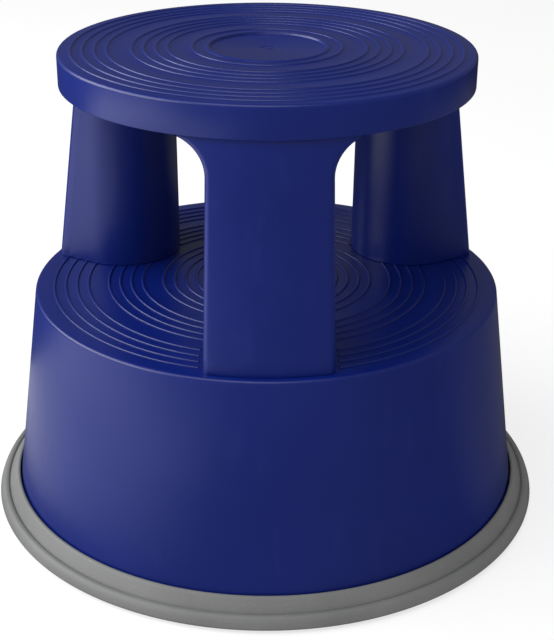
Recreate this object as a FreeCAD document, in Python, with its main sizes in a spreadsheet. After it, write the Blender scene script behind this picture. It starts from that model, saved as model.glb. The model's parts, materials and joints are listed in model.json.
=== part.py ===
import FreeCAD, Part
import math
import os

import Sketcher
from FreeCAD import Placement, Rotation, Vector

# Kick step stool. The origin is on the floor under the stool's centre, +Z is up and the front leg
# stands towards -Y. Every size is a cell of one spreadsheet, in millimetres or degrees.

SIZES = {
    # the whole stool
    "top_height": 362.0,
    "ring_base": 3.0,
    "wall": 3.5,
    "plate": 4.0,
    # raised rings on both treads
    "bead_height": 0.9,
    "bead_foot": 2.8,
    "bead_crest": 1.4,
    "bead_pitch": 8.7,
    # top step
    "top_radius": 153.2,
    "skirt_base": 337.4,
    "top_round": 2.5,
    "top_first_bead": 143.3,
    "top_group_step": 44.2,
    "dish_radius": 42.0,
    "dish_rim": 46.3,
    "dish_sink": 1.0,
    "gate_radius": 5.0,
    "gate_sink": 0.8,
    # lower step and drum
    "step_height": 178.1,
    "step_radius": 179.4,
    "taper": 0.135,
    "step_round": 2.0,
    "step_first_bead": 165.2,
    "step_group_step": 42.0,
    "drum_base": 5.5,
    "flange_radius": 209.5,
    "flange_top": 9.0,
    # legs
    "leg_top": 337.0,
    "foot_outer": 174.0,
    "foot_half": 45.0,
    "foot_centre": 134.0,
    "head_outer": 150.5,
    "head_half": 42.0,
    "head_centre": 132.0,
    "leg_corner": 7.0,
    "front_margin": 3.0,
    "rear_margin": 0.8,
    "hatch_inset": 20.0,
    "flare_radius": 26.0,
    "flare_lip": 1.0,
    "flare_depth": 9.0,
    "boss_radius": 5.5,
    "boss_depth": 14.0,
    # leg screws
    "screw_radius": 2.45,
    "screw_hole": 2.5,
    "screw_head": 4.5,
    "screw_head_depth": 2.6,
    "screw_hex": 2.0,
    "screw_hex_depth": 1.6,
    "screw_length": 14.0,
    # floor ring
    "ring_outer": 219.3,
    "ring_inner": 197.0,
    "ring_gap": 0.3,
    "ring_band": 12.2,
    "ring_groove": 211.2,
    "lip_radius": 203.0,
    "lip_height": 21.4,
    # castors
    "castor_circle": 150.0,
    "socket_mouth": 50.0,
    "socket_radius": 20.0,
    "socket_bore": 16.0,
    "spring_seat": 112.0,
    "spring_core": 11.0,
    "retainer_radius": 27.0,
    "retainer_base": 46.0,
    "retainer_bore": 12.3,
    "retainer_screw_circle": 23.3,
    "retainer_screw": 1.9,
    "retainer_screw_hole": 1.95,
    "retainer_screw_length": 11.0,
    "countersink_radius": 3.6,
    "countersink_depth": 2.2,
    "plunger_radius": 15.94,
    "plunger_stem": 11.9,
    "plunger_top": 72.0,
    "spigot_radius": 11.5,
    "spigot_top": 80.0,
    "spring_radius": 13.7,
    "spring_wire": 1.1,
    "spring_pitch": 5.6,
    "kingpin_radius": 4.0,
    "kingpin_top": 68.0,
    "fork_top": 39.0,
    "fork_plate": 3.0,
    "fork_inside": 7.8,
    "fork_side": 2.5,
    "trail": 10.0,
    "wheel_radius": 16.0,
    "hub_radius": 11.5,
    "wheel_width": 14.0,
    "axle_radius": 2.5,
    "axle_head": 4.0,
}

LEGS = {"front": -90, "rear_left": 150, "rear_right": 30}
CASTORS = {"rear": 90, "right": -30, "left": -150}

doc = FreeCAD.newDocument("kick_step_stool")
sheet = doc.addObject("Spreadsheet::Sheet", "Sizes")
for row, (alias, number) in enumerate(SIZES.items(), start=1):
    sheet.set(f"A{row}", str(number))
    sheet.setAlias(f"A{row}", alias)
doc.recompute()


class Size:
    """A number together with the spreadsheet expression that gives it."""

    def __init__(self, number, text=None):
        self.number = float(number)
        self.text = text or repr(float(number))

    def join(self, other, sign, number):
        return Size(number, f"({self.text} {sign} {other.text})")

    def __add__(self, other):
        other = as_size(other)
        return self.join(other, "+", self.number + other.number)

    def __sub__(self, other):
        other = as_size(other)
        return self.join(other, "-", self.number - other.number)

    def __mul__(self, other):
        other = as_size(other)
        return self.join(other, "*", self.number * other.number)

    def __truediv__(self, other):
        other = as_size(other)
        return self.join(other, "/", self.number / other.number)

    def __neg__(self):
        return Size(-self.number, f"(0 - {self.text})")


def as_size(value):
    return value if isinstance(value, Size) else Size(value)


def cell(alias):
    return Size(sheet.get(alias), f"Sizes.{alias}")


def bind(thing, prop, size):
    thing.setExpression(prop, as_size(size).text)


def drum_at(height):
    """The drum's outer radius at a height."""
    return cell("step_radius") + cell("taper") * (cell("step_height") - height)


def turned(x, y, turn):
    """A point turned about the Z axis by an angle in degrees."""
    cosine = Size(math.cos(math.radians(turn)), f"cos({turn} deg)")
    sine = Size(math.sin(math.radians(turn)), f"sin({turn} deg)")
    return cosine * x - sine * y, sine * x + cosine * y


# Bodies and sketches


def new_body(label):
    body = doc.addObject("PartDesign::Body", label)
    body.Label = label
    return body


def place(thing, x=0, y=0, z=0, turn=0):
    thing.Placement = Placement(Vector(0, 0, 0), Rotation(Vector(0, 0, 1), turn))
    for axis, size in zip("xyz", (x, y, z)):
        bind(thing, f"Placement.Base.{axis}", size)


def new_sketch(body, plane, offset=0, turn=0):
    """A sketch on one of the body's origin planes, moved along its normal and turned in it."""
    sketch = body.newObject("Sketcher::SketchObject", body.Label + "_sketch")
    origin = [f for f in body.Origin.OriginFeatures if f.Role == plane][0]
    sketch.AttachmentSupport = [(origin, "")]
    sketch.MapMode = "FlatFace"
    sketch.AttachmentOffset = Placement(Vector(0, 0, 0), Rotation(Vector(0, 0, 1), turn))
    bind(sketch, "AttachmentOffset.Base.z", offset)
    return sketch


def fix(sketch, kind, geometry, point, size):
    """Dimension a point's distance from the sketch's origin along one axis."""
    index = sketch.addConstraint(
        Sketcher.Constraint(kind, -1, 1, geometry, point, as_size(size).number)
    )
    sketch.setExpression(f"Constraints[{index}]", as_size(size).text)


def fix_radius(sketch, geometry, size):
    index = sketch.addConstraint(Sketcher.Constraint("Radius", geometry, size.number))
    sketch.setExpression(f"Constraints[{index}]", size.text)


def draw_outline(sketch, points):
    """A closed outline of straight lines through points, each coordinate a Size or a number."""
    corners = [(as_size(x), as_size(y)) for x, y in points]
    first = sketch.GeometryCount
    for (x, y), (next_x, next_y) in zip(corners, corners[1:] + corners[:1]):
        start = Vector(x.number, y.number, 0)
        end = Vector(next_x.number, next_y.number, 0)
        sketch.addGeometry(Part.LineSegment(start, end), False)
    for step, (x, y) in enumerate(corners):
        line = first + step
        before = first + (step - 1) % len(corners)
        sketch.addConstraint(Sketcher.Constraint("Coincident", before, 2, line, 1))
        fix(sketch, "DistanceX", line, 1, x)
        fix(sketch, "DistanceY", line, 1, y)


def draw_circle(sketch, x, y, radius):
    x, y, radius = as_size(x), as_size(y), as_size(radius)
    centre = Vector(x.number, y.number, 0)
    index = sketch.addGeometry(Part.Circle(centre, Vector(0, 0, 1), radius.number), False)
    fix(sketch, "DistanceX", index, 3, x)
    fix(sketch, "DistanceY", index, 3, y)
    fix_radius(sketch, index, radius)


def draw_leg_outline(sketch, outer, half, centre, corner, grow=0):
    """The legs' D section: an arc round the stool's axis, two sides and a round inner end.

    Its pieces run anticlockwise, each starting where the one before it ends.
    """
    outer, half, corner = outer + grow, half + grow, corner + grow
    side_end = ((outer.number - corner.number) ** 2 - (half.number - corner.number) ** 2) ** 0.5
    bend = Vector(side_end, half.number - corner.number, 0)
    flip = Vector(bend.x, -bend.y, 0)
    tip = bend * (outer.number / (outer.number - corner.number))
    low_tip = Vector(tip.x, -tip.y, 0)
    inner = Vector(centre.number, 0, 0)
    up = Vector(0, 1, 0)
    knee = 0.7071
    outline = [
        Part.Arc(low_tip, Vector(outer.number, 0, 0), tip),
        Part.Arc(tip, bend + Vector(knee, knee, 0) * corner.number, bend + up * corner.number),
        Part.LineSegment(bend + up * corner.number, inner + up * half.number),
        Part.Arc(inner + up * half.number, inner - Vector(half.number, 0, 0), inner - up * half.number),
        Part.LineSegment(inner - up * half.number, flip - up * corner.number),
        Part.Arc(flip - up * corner.number, flip + Vector(knee, -knee, 0) * corner.number, low_tip),
    ]
    first = sketch.GeometryCount
    sketch.addGeometry(outline, False)
    pieces = list(range(first, first + len(outline)))
    for piece, following in zip(pieces, pieces[1:] + pieces[:1]):
        sketch.addConstraint(Sketcher.Constraint("Tangent", piece, 2, following, 1))
    face, knee_up, side_up, end, _, knee_down = pieces
    sketch.addConstraint(Sketcher.Constraint("Coincident", face, 3, -1, 1))
    sketch.addConstraint(Sketcher.Constraint("Horizontal", side_up))
    sketch.addConstraint(Sketcher.Constraint("PointOnObject", end, 3, -1))
    fix(sketch, "DistanceX", end, 3, centre)
    fix_radius(sketch, face, outer)
    fix_radius(sketch, end, half)
    fix_radius(sketch, knee_up, corner)
    fix_radius(sketch, knee_down, corner)


# Features


def revolve(body, sketch, cut=False, axis="V_Axis"):
    kind = "PartDesign::Groove" if cut else "PartDesign::Revolution"
    feature = body.newObject(kind, body.Label + "_turned")
    feature.Profile = sketch
    feature.ReferenceAxis = (sketch, [axis])
    feature.Angle = 360
    return settle(body, feature)


def pad(body, sketch, length, down=False):
    feature = body.newObject("PartDesign::Pad", body.Label + "_pad")
    feature.Profile = sketch
    bind(feature, "Length", length)
    feature.Reversed = down
    return settle(body, feature)


def pocket(body, sketch, length, up=False):
    """A cut that must take material away, or the build stops."""
    before = body.Shape.Volume
    feature = body.newObject("PartDesign::Pocket", body.Label + "_pocket")
    feature.Profile = sketch
    bind(feature, "Length", length)
    feature.Reversed = up
    settle(body, feature)
    if body.Shape.Volume > before - 1:
        raise RuntimeError(f"{feature.Name} cuts nothing")
    return feature


def settle(body, feature):
    """Make a feature the body's result, and stop at once if it failed."""
    body.Tip = feature
    doc.recompute()
    if "Invalid" in feature.State or "Error" in feature.State:
        raise RuntimeError(f"{feature.Name} failed")
    return feature


def around(body, features, count):
    """Repeat features evenly round the body's Z axis."""
    pattern = body.newObject("PartDesign::PolarPattern", body.Label + "_around")
    pattern.Originals = features
    axis = [f for f in body.Origin.OriginFeatures if f.Role == "Z_Axis"][0]
    pattern.Axis = (axis, [""])
    pattern.Angle = 360
    pattern.Occurrences = count
    return settle(body, pattern)


def round_circle(body, radius, height, size):
    """Round the circular edge of a given radius and height."""
    names = []
    base = body.Tip
    for number, edge in enumerate(base.Shape.Edges, start=1):
        curve = edge.Curve
        if not isinstance(curve, Part.Circle) or abs(curve.Radius - radius.number) > 0.01:
            continue
        if abs(curve.Center.z - height.number) < 0.01:
            names.append(f"Edge{number}")
    feature = body.newObject("PartDesign::Fillet", body.Label + "_round")
    feature.Base = (base, names)
    bind(feature, "Radius", size)
    return settle(body, feature)


def bead_section(sketch, radius, height):
    """One raised ring, cut across: it starts a little inside the tread so that it joins it."""
    foot = cell("bead_foot") * 0.5
    crest = cell("bead_crest") * 0.5
    top = height + cell("bead_height")
    bottom = height - 0.5
    outline = [
        (radius - foot, bottom),
        (radius + foot, bottom),
        (radius + foot, height),
        (radius + crest, top),
        (radius - crest, top),
        (radius - foot, height),
    ]
    draw_outline(sketch, outline)


def beads(body, first, group_step, groups, height):
    """Groups of raised rings on a tread, counted inwards from the first ring."""
    sketch = new_sketch(body, "XZ_Plane")
    for group, count in enumerate(groups):
        for bead in range(count):
            radius = cell(first) - cell(group_step) * group - cell("bead_pitch") * bead
            bead_section(sketch, radius, height)
    return revolve(body, sketch)


def screw_places(half_across, outer, inner):
    """The three screws of a leg's foot or head, in the leg's own directions."""
    return [(outer, half_across), (outer, -half_across), (inner, 0)]


FOOT_SCREWS = screw_places(20, 162, 99)
HEAD_SCREWS = screw_places(14, 138, 118)


def draw_screw_circles(sketch, places, radius):
    for x, y in places:
        draw_circle(sketch, x, y, radius)


# Top step: tread with raised rings and a dished centre, skirt, ribs and screw bosses


def build_top_step():
    body = new_body("top_step")
    field = cell("top_height") - cell("bead_height")
    inside = cell("top_radius") - cell("plate")
    ceiling = field - cell("plate")
    dish = field - cell("dish_sink")
    sketch = new_sketch(body, "XZ_Plane")
    outline = [
        (0, dish - cell("gate_sink")),
        (cell("gate_radius"), dish),
        (cell("dish_radius"), dish),
        (cell("dish_radius") + 0.6, cell("top_height")),
        (cell("dish_rim") - 1, cell("top_height")),
        (cell("dish_rim"), field),
        (cell("top_radius"), field),
        (cell("top_radius"), cell("skirt_base")),
        (inside, cell("skirt_base")),
        (inside - 0.6, ceiling),
        (0, ceiling),
    ]
    draw_outline(sketch, outline)
    revolve(body, sketch)
    round_circle(body, cell("top_radius"), field, cell("top_round"))
    beads(body, "top_first_bead", "top_group_step", (4, 4, 1), field)
    build_top_ribs(body, inside, ceiling)
    sketch = new_sketch(body, "XY_Plane", cell("leg_top"), LEGS["front"])
    draw_screw_circles(sketch, HEAD_SCREWS, cell("boss_radius"))
    bosses = pad(body, sketch, ceiling + 1 - cell("leg_top"))
    around(body, [bosses], 3)
    sketch = new_sketch(body, "XY_Plane", cell("leg_top"), LEGS["front"])
    draw_screw_circles(sketch, HEAD_SCREWS, cell("screw_hole"))
    holes = pocket(body, sketch, cell("boss_depth"), up=True)
    around(body, [holes], 3)
    return body


def build_top_ribs(body, inside, ceiling):
    rib_depth = 11
    rib_half = 1.5
    hub_radius = 24
    base = ceiling - rib_depth
    sketch = new_sketch(body, "XY_Plane", base)
    draw_circle(sketch, 0, 0, hub_radius)
    draw_circle(sketch, 0, 0, hub_radius - 3)
    pad(body, sketch, rib_depth + 1)
    sketch = new_sketch(body, "XY_Plane", base, LEGS["rear_right"])
    start = hub_radius - 2
    outline = [
        (start, -rib_half),
        (inside + 1, -rib_half),
        (inside + 1, rib_half),
        (start, rib_half),
    ]
    draw_outline(sketch, outline)
    rib = pad(body, sketch, rib_depth + 1)
    around(body, [rib], 12)


# Base body: drum, lower tread with raised rings, leg hatches, ribs and castor sockets


def build_base_body():
    body = new_body("base_body")
    tread = cell("step_height")
    ceiling = tread - cell("plate")
    sketch = new_sketch(body, "XZ_Plane")
    outline = [
        (0, tread),
        (cell("step_radius"), tread),
        (drum_at(cell("flange_top")), cell("flange_top")),
        (cell("flange_radius"), cell("flange_top")),
        (cell("flange_radius"), cell("drum_base")),
        (drum_at(cell("drum_base")) - cell("wall"), cell("drum_base")),
        (drum_at(ceiling) - cell("wall"), ceiling),
        (0, ceiling),
    ]
    draw_outline(sketch, outline)
    revolve(body, sketch)
    round_circle(body, cell("step_radius"), tread, cell("step_round"))
    beads(body, "step_first_bead", "step_group_step", (4, 4, 4), tread)
    foot = [cell(name) for name in ("foot_outer", "foot_half", "foot_centre", "leg_corner")]
    for name, turn in LEGS.items():
        margin = cell("front_margin" if name == "front" else "rear_margin")
        sketch = new_sketch(body, "XY_Plane", tread, turn)
        draw_leg_outline(sketch, *foot, grow=margin)
        pocket(body, sketch, cell("bead_height") * 2, up=True)
    build_base_ribs(body, ceiling)
    build_sockets(body, ceiling)
    sketch = new_sketch(body, "XY_Plane", tread, LEGS["front"])
    draw_leg_outline(sketch, *foot[:3], foot[3] + cell("hatch_inset"), grow=-cell("hatch_inset"))
    hatch = pocket(body, sketch, cell("plate") + 1)
    around(body, [hatch], 3)
    sketch = new_sketch(body, "XY_Plane", tread, LEGS["front"])
    draw_screw_circles(sketch, FOOT_SCREWS, cell("screw_hole"))
    holes = pocket(body, sketch, cell("plate") + 1)
    around(body, [holes], 3)
    return body


def build_base_ribs(body, ceiling):
    rib_depth = 14
    rib_half = 1.5
    hub_radius = 34
    base = ceiling - rib_depth
    sketch = new_sketch(body, "XY_Plane", base)
    draw_circle(sketch, 0, 0, hub_radius)
    draw_circle(sketch, 0, 0, hub_radius - 3)
    pad(body, sketch, rib_depth + 1)
    sketch = new_sketch(body, "XY_Plane", base, CASTORS["rear"])
    start = hub_radius - 2
    end = cell("step_radius") - 1
    outline = [(start, -rib_half), (end, -rib_half), (end, rib_half), (start, rib_half)]
    draw_outline(sketch, outline)
    along = pad(body, sketch, rib_depth + 1)
    around(body, [along], 3)
    for turn in (-30, 30):
        sketch = new_sketch(body, "XY_Plane", base, CASTORS["rear"] + turn)
        draw_outline(sketch, outline)
        between = pad(body, sketch, rib_depth + 1)
        around(body, [between], 3)


def build_sockets(body, ceiling):
    """Three tubes that hang from the tread, each tied to the drum by a web."""
    mouth = cell("socket_mouth")
    reach = cell("castor_circle")
    flange_depth = 10
    web_half = 1.5
    web_base = mouth + 12
    sketch = new_sketch(body, "XY_Plane", mouth, CASTORS["rear"])
    draw_circle(sketch, reach, 0, cell("socket_radius"))
    tube = pad(body, sketch, ceiling + 1 - mouth)
    around(body, [tube], 3)
    sketch = new_sketch(body, "XY_Plane", mouth, CASTORS["rear"])
    draw_circle(sketch, reach, 0, cell("retainer_radius"))
    flange = pad(body, sketch, flange_depth)
    around(body, [flange], 3)
    sketch = new_sketch(body, "YZ_Plane", -web_half)
    start = reach + cell("socket_radius") - 2
    outline = [
        (start, web_base),
        (drum_at(web_base) - cell("wall") + 1, web_base),
        (drum_at(ceiling) - cell("wall") + 1, ceiling + 1),
        (start, ceiling + 1),
    ]
    draw_outline(sketch, outline)
    web = pad(body, sketch, 2 * web_half)
    around(body, [web], 3)
    sketch = new_sketch(body, "XY_Plane", mouth, CASTORS["rear"])
    draw_circle(sketch, reach, 0, cell("socket_bore"))
    bore = pocket(body, sketch, cell("spring_seat") - mouth, up=True)
    around(body, [bore], 3)
    sketch = new_sketch(body, "XY_Plane", mouth, CASTORS["rear"])
    draw_circle(sketch, reach, 0, cell("spring_core"))
    core = pocket(body, sketch, ceiling - 2 - mouth, up=True)
    around(body, [core], 3)
    sketch = new_sketch(body, "XY_Plane", mouth, CASTORS["rear"])
    for side in (-1, 1):
        screw_y = cell("retainer_screw_circle") * side
        draw_circle(sketch, reach, screw_y, cell("retainer_screw_hole"))
    holes = pocket(body, sketch, flange_depth - 1, up=True)
    around(body, [holes], 3)


# Legs: hollow D-shaped columns with a closed head and a foot plate that has a hatch


def build_leg(name, turn):
    flared = name == "front"
    body = new_body(f"leg_{name}_tube" if flared else f"leg_{name}")
    foot = [cell(size) for size in ("foot_outer", "foot_half", "foot_centre", "leg_corner")]
    head = [cell(size) for size in ("head_outer", "head_half", "head_centre", "leg_corner")]
    base = cell("step_height")
    top = cell("leg_top")
    plate = cell("plate")
    loft_outlines(body, "PartDesign::AdditiveLoft", (base, foot), (top, head), 0)
    inside = -cell("wall")
    loft_outlines(body, "PartDesign::SubtractiveLoft", (base + plate, foot), (top - plate, head), inside)
    sketch = new_sketch(body, "XY_Plane", base + plate)
    draw_screw_circles(sketch, FOOT_SCREWS, cell("boss_radius"))
    pad(body, sketch, cell("boss_depth") - plate)
    sketch = new_sketch(body, "XY_Plane", base)
    draw_screw_circles(sketch, FOOT_SCREWS, cell("screw_hole"))
    pocket(body, sketch, cell("boss_depth"), up=True)
    sketch = new_sketch(body, "XY_Plane", base)
    draw_leg_outline(sketch, *foot[:3], foot[3] + cell("hatch_inset"), grow=-cell("hatch_inset"))
    pocket(body, sketch, plate + 1, up=True)
    sketch = new_sketch(body, "XY_Plane", top)
    draw_screw_circles(sketch, HEAD_SCREWS, cell("screw_hole"))
    pocket(body, sketch, plate + 1)
    if not flared:
        place(body, turn=turn)
        return body
    leg = build_flare(body)
    place(leg, turn=turn)
    return leg


def loft_outlines(body, kind, low, high, grow):
    sketches = []
    for height, outline in (low, high):
        sketch = new_sketch(body, "XY_Plane", height)
        draw_leg_outline(sketch, *outline, grow=grow)
        sketches.append(sketch)
    feature = body.newObject(kind, body.Label + "_loft")
    feature.Profile = sketches[0]
    feature.Sections = sketches[1:]
    feature.Ruled = True
    settle(body, feature)


def build_flare(tube):
    """The front leg spreads under the top step: two curved brackets behind its outer face."""
    half = cell("head_half") - 2
    reach = cell("head_half") + cell("flare_radius")
    top = cell("leg_top")
    lip = top - cell("flare_lip")
    blank = new_body("flare_blank")
    sketch = new_sketch(blank, "YZ_Plane", cell("head_outer") * 0.5)
    base = lip - cell("flare_radius")
    outline = [(-reach, base), (reach, base), (reach, top), (-reach, top)]
    draw_outline(sketch, outline)
    pad(blank, sketch, cell("head_outer"))
    for side in (-1, 1):
        sketch = new_sketch(blank, "YZ_Plane", cell("head_outer") * 0.5)
        draw_circle(sketch, reach * side, base, cell("flare_radius"))
        pocket(blank, sketch, cell("head_outer"), up=True)
    sketch = new_sketch(blank, "YZ_Plane", cell("head_outer") * 0.5)
    draw_outline(sketch, [(-half, base), (half, base), (half, top), (-half, top)])
    pocket(blank, sketch, cell("head_outer"), up=True)
    sleeve = new_body("flare_sleeve")
    sketch = new_sketch(sleeve, "XZ_Plane")
    slope = (cell("foot_outer") - cell("head_outer")) / (top - cell("step_height"))
    low_radius = cell("head_outer") + slope * (top - base)
    depth = cell("flare_depth")
    outline = [
        (low_radius, base),
        (cell("head_outer"), top),
        (cell("head_outer") - depth, top),
        (low_radius - depth, base),
    ]
    draw_outline(sketch, outline)
    revolve(sleeve, sketch)
    brackets = doc.addObject("Part::Common", "flare_brackets")
    brackets.Base = blank
    brackets.Tool = sleeve
    brackets.Label = "flare_brackets"
    leg = doc.addObject("Part::MultiFuse", "leg_front")
    leg.Shapes = [tube, brackets]
    leg.Label = "leg_front"
    doc.recompute()
    return leg


# Screws: groups of separate solids, each with a driving recess in its head


def pan_screw(length):
    """A pan-head screw that points up, with the head's underside at its own origin."""
    shank = doc.addObject("Part::Cylinder", "shank")
    bind(shank, "Radius", cell("screw_radius"))
    bind(shank, "Height", length)
    head = doc.addObject("Part::Cylinder", "head")
    bind(head, "Radius", cell("screw_head"))
    bind(head, "Height", cell("screw_head_depth"))
    bind(head, "Placement.Base.z", -cell("screw_head_depth"))
    return recessed([shank, head], -cell("screw_head_depth"))


def countersunk_screw(length):
    """A countersunk screw that points up, with its head's face at its own origin."""
    shank = doc.addObject("Part::Cylinder", "shank")
    bind(shank, "Radius", cell("retainer_screw"))
    bind(shank, "Height", length)
    head = doc.addObject("Part::Cone", "head")
    bind(head, "Radius1", cell("countersink_radius") - 0.05)
    bind(head, "Radius2", cell("retainer_screw"))
    bind(head, "Height", cell("countersink_depth") - 0.05)
    return recessed([shank, head], 0)


def recessed(pieces, base):
    solid = doc.addObject("Part::MultiFuse", "screw_solid")
    solid.Shapes = pieces
    recess = doc.addObject("Part::Prism", "recess")
    recess.Polygon = 6
    bind(recess, "Circumradius", cell("screw_hex"))
    bind(recess, "Height", cell("screw_hex_depth"))
    bind(recess, "Placement.Base.z", base)
    screw = doc.addObject("Part::Cut", "screw")
    screw.Base = solid
    screw.Tool = recess
    return screw


def build_screws(label, make, length, spots):
    screws = []
    for turn, x, y, z in spots:
        screw = make(length)
        place(screw, *turned(x, y, turn), z)
        screws.append(screw)
    group = doc.addObject("Part::Compound", label)
    group.Links = screws
    group.Label = label
    return group


def leg_spots(places, height):
    return [(turn, x, y, height) for turn in LEGS.values() for x, y in places]


def retainer_spots():
    reach = cell("castor_circle")
    circle = cell("retainer_screw_circle")
    sides = (-1, 1)
    return [
        (turn, reach, circle * side, cell("retainer_base"))
        for turn in CASTORS.values()
        for side in sides
    ]


# Floor ring: rubber, with a slot for the drum's flange, a wall that spreads towards the floor,
# a flat band, a groove, and a slope up to a lip that stands clear of the drum


def build_floor_ring():
    body = new_body("floor_ring")
    gap = cell("ring_gap")
    outer = cell("ring_outer")
    base = cell("ring_base")
    band = cell("ring_band")
    groove = cell("ring_groove")
    slot_end = cell("flange_radius") + gap
    slot_top = cell("flange_top") + gap
    slot_base = cell("drum_base") - gap
    lip = cell("lip_height")
    lip_radius = cell("lip_radius")
    sketch = new_sketch(body, "XZ_Plane")
    outline = [
        (outer - 1, base),
        (outer, base + 1.4),
        (outer - 1.7, band - 3),
        (outer - 4.2, band),
        (groove + 1.1, band),
        (groove, band - 1.2),
        (groove - 0.8, band + 0.2),
        (lip_radius + 2.6, lip - 1.7),
        (lip_radius + 1.4, lip - 0.3),
        (lip_radius, lip),
        (lip_radius - 0.8, lip - 0.6),
        (drum_at(slot_top) + gap, slot_top),
        (slot_end, slot_top),
        (slot_end, slot_base),
        (cell("ring_inner"), slot_base),
        (cell("ring_inner"), base),
    ]
    draw_outline(sketch, outline)
    revolve(body, sketch)
    return body


# Castors: each stands at its own place on one circle, and all of them trail the same way


def place_castor_piece(body, turn, y=0, z=0):
    centre_x, centre_y = turned(cell("castor_circle"), 0, turn)
    place(body, centre_x, centre_y + y, z)


def turned_piece(label, outline, axis="V_Axis"):
    body = new_body(label)
    sketch = new_sketch(body, "XZ_Plane")
    draw_outline(sketch, outline)
    revolve(body, sketch, axis=axis)
    return body


def build_retainer(name, turn):
    body = new_body(f"castor_{name}_retainer")
    base = cell("retainer_base")
    thickness = cell("socket_mouth") - base
    sketch = new_sketch(body, "XY_Plane", base)
    draw_circle(sketch, 0, 0, cell("retainer_radius"))
    draw_circle(sketch, 0, 0, cell("retainer_bore"))
    pad(body, sketch, thickness)
    sketch = new_sketch(body, "XY_Plane", base)
    for side in (-1, 1):
        draw_circle(sketch, 0, cell("retainer_screw_circle") * side, cell("retainer_screw_hole"))
    holes = body.newObject("PartDesign::Hole", body.Label + "_holes")
    holes.Profile = sketch
    doc.recompute()
    holes.Reversed = True
    holes.DepthType = "ThroughAll"
    holes.ThreadType = "None"
    holes.HoleCutType = "Countersink"
    holes.HoleCutCustomValues = True
    bind(holes, "Diameter", cell("retainer_screw_hole") * 2)
    bind(holes, "HoleCutDiameter", cell("countersink_radius") * 2)
    holes.HoleCutCountersinkAngle = 75.0
    before = body.Shape.Volume
    settle(body, holes)
    if body.Shape.Volume > before - 1:
        raise RuntimeError("the retainer's holes cut nothing")
    centre_x, centre_y = turned(cell("castor_circle"), 0, turn)
    place(body, centre_x, centre_y, turn=turn)
    return body


def build_plunger(name, turn):
    stem = cell("plunger_stem")
    radius = cell("plunger_radius")
    bore = cell("kingpin_radius") + 0.05
    base = cell("fork_top") + 2
    floor = 62
    pocket_radius = 8
    mouth = cell("socket_mouth")
    top = cell("plunger_top")
    outline = [
        (bore, base),
        (stem, base),
        (stem, mouth),
        (radius, mouth),
        (radius, top),
        (cell("spigot_radius"), top),
        (cell("spigot_radius"), cell("spigot_top")),
        (pocket_radius, cell("spigot_top")),
        (pocket_radius, floor),
        (bore, floor),
    ]
    body = turned_piece(f"castor_{name}_plunger", outline)
    place_castor_piece(body, turn)
    return body


def build_spring(name, turn):
    body = new_body(f"castor_{name}_spring")
    wire = cell("spring_wire")
    start = cell("plunger_top") + wire
    sketch = new_sketch(body, "XZ_Plane")
    draw_circle(sketch, cell("spring_radius"), start, wire)
    coil = body.newObject("PartDesign::AdditiveHelix", body.Label + "_coil")
    coil.Profile = sketch
    coil.ReferenceAxis = (sketch, ["V_Axis"])
    coil.Mode = "pitch-height-angle"
    bind(coil, "Pitch", cell("spring_pitch"))
    bind(coil, "Height", cell("spring_seat") - cell("plunger_top") - wire * 2)
    settle(body, coil)
    place_castor_piece(body, turn)
    return body


def build_kingpin(name, turn):
    radius = cell("kingpin_radius")
    under = cell("fork_top") - cell("fork_plate")
    top = cell("kingpin_top")
    head_radius = 6.5
    head_depth = 2.6
    clip_base = 63.0
    clip_top = 64.2
    groove = radius - 0.6
    outline = [
        (0, under - head_depth),
        (head_radius - 1, under - head_depth),
        (head_radius, under - 1),
        (head_radius, under),
        (radius, under),
        (radius, clip_base),
        (groove, clip_base),
        (groove, clip_top),
        (radius, clip_top),
        (radius, top - 0.8),
        (radius - 0.8, top),
        (0, top),
    ]
    body = turned_piece(f"castor_{name}_kingpin", outline)
    place_castor_piece(body, turn)
    return body


def build_clip(name, turn):
    groove = cell("kingpin_radius") - 0.6
    outer = 7
    base = 63.05
    top = 64.15
    body = turned_piece(
        f"castor_{name}_clip",
        [(groove, base), (outer, base), (outer, top), (groove, top)],
    )
    sketch = new_sketch(body, "XY_Plane", base - 1)
    draw_outline(sketch, [(0, -2), (outer + 1, -2), (outer + 1, 2), (0, 2)])
    pocket(body, sketch, 3, up=True)
    place_castor_piece(body, turn)
    return body


def build_washer(name, turn):
    bore = cell("kingpin_radius") + 0.1
    outer = 9
    base = cell("fork_top") + 0.1
    top = cell("fork_top") + 1.9
    body = turned_piece(
        f"castor_{name}_washer",
        [(bore, base), (outer, base), (outer, top), (bore, top)],
    )
    place_castor_piece(body, turn)
    return body


def build_fork(name, turn):
    body = new_body(f"castor_{name}_fork")
    top = cell("fork_top")
    plate_base = top - cell("fork_plate")
    inside = cell("fork_inside")
    outside = inside + cell("fork_side")
    axle_y = cell("trail")
    axle_z = cell("wheel_radius")
    eye = 6.5
    sketch = new_sketch(body, "XY_Plane", plate_base)
    plate = [
        (-outside, -8),
        (-outside + 5, -13),
        (outside - 5, -13),
        (outside, -8),
        (outside, 17),
        (-outside, 17),
    ]
    draw_outline(sketch, plate)
    pad(body, sketch, cell("fork_plate"))
    for face in (inside, -outside):
        sketch = new_sketch(body, "YZ_Plane", face)
        cheek = [
            (-8, plate_base),
            (17, plate_base),
            (axle_y + eye, axle_z),
            (axle_y + 3.5, axle_z - 5),
            (axle_y - 3.5, axle_z - 5),
            (axle_y - eye, axle_z),
        ]
        draw_outline(sketch, cheek)
        pad(body, sketch, cell("fork_side"))
    sketch = new_sketch(body, "YZ_Plane", -outside)
    draw_circle(sketch, axle_y, axle_z, cell("axle_radius"))
    pocket(body, sketch, outside * 2, up=True)
    sketch = new_sketch(body, "XY_Plane", plate_base)
    draw_circle(sketch, 0, 0, cell("kingpin_radius"))
    pocket(body, sketch, cell("fork_plate"), up=True)
    place_castor_piece(body, turn)
    return body


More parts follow.
